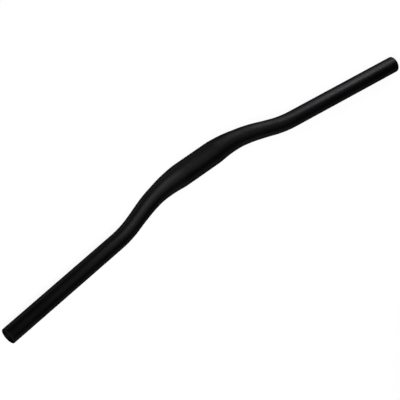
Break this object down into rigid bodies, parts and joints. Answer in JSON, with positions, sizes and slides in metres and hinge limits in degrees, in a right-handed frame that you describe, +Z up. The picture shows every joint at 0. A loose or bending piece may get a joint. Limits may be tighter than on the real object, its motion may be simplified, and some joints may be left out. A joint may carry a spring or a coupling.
{
  "type": "riser handlebar",
  "caption": "Low-rise bicycle handlebar: one butted aluminium tube with a thick round clamp zone in the middle, two gentle bends on each side and straight grip zones with open ends",
  "frame": {"origin": "the middle of the clamp zone, on its axis", "axes": "+X along the clamp axis, +Y the way the bar rises, +Z up off the table that the bar lies on, with the two grips swept down towards it"},
  "size_m": [0.682, 0.068, 0.0318],
  "materials": {
    "black_satin": "satin"
  },
  "bodies": {
    "root": {"handlebar": "black_satin"}
  },
  "joints": []
}
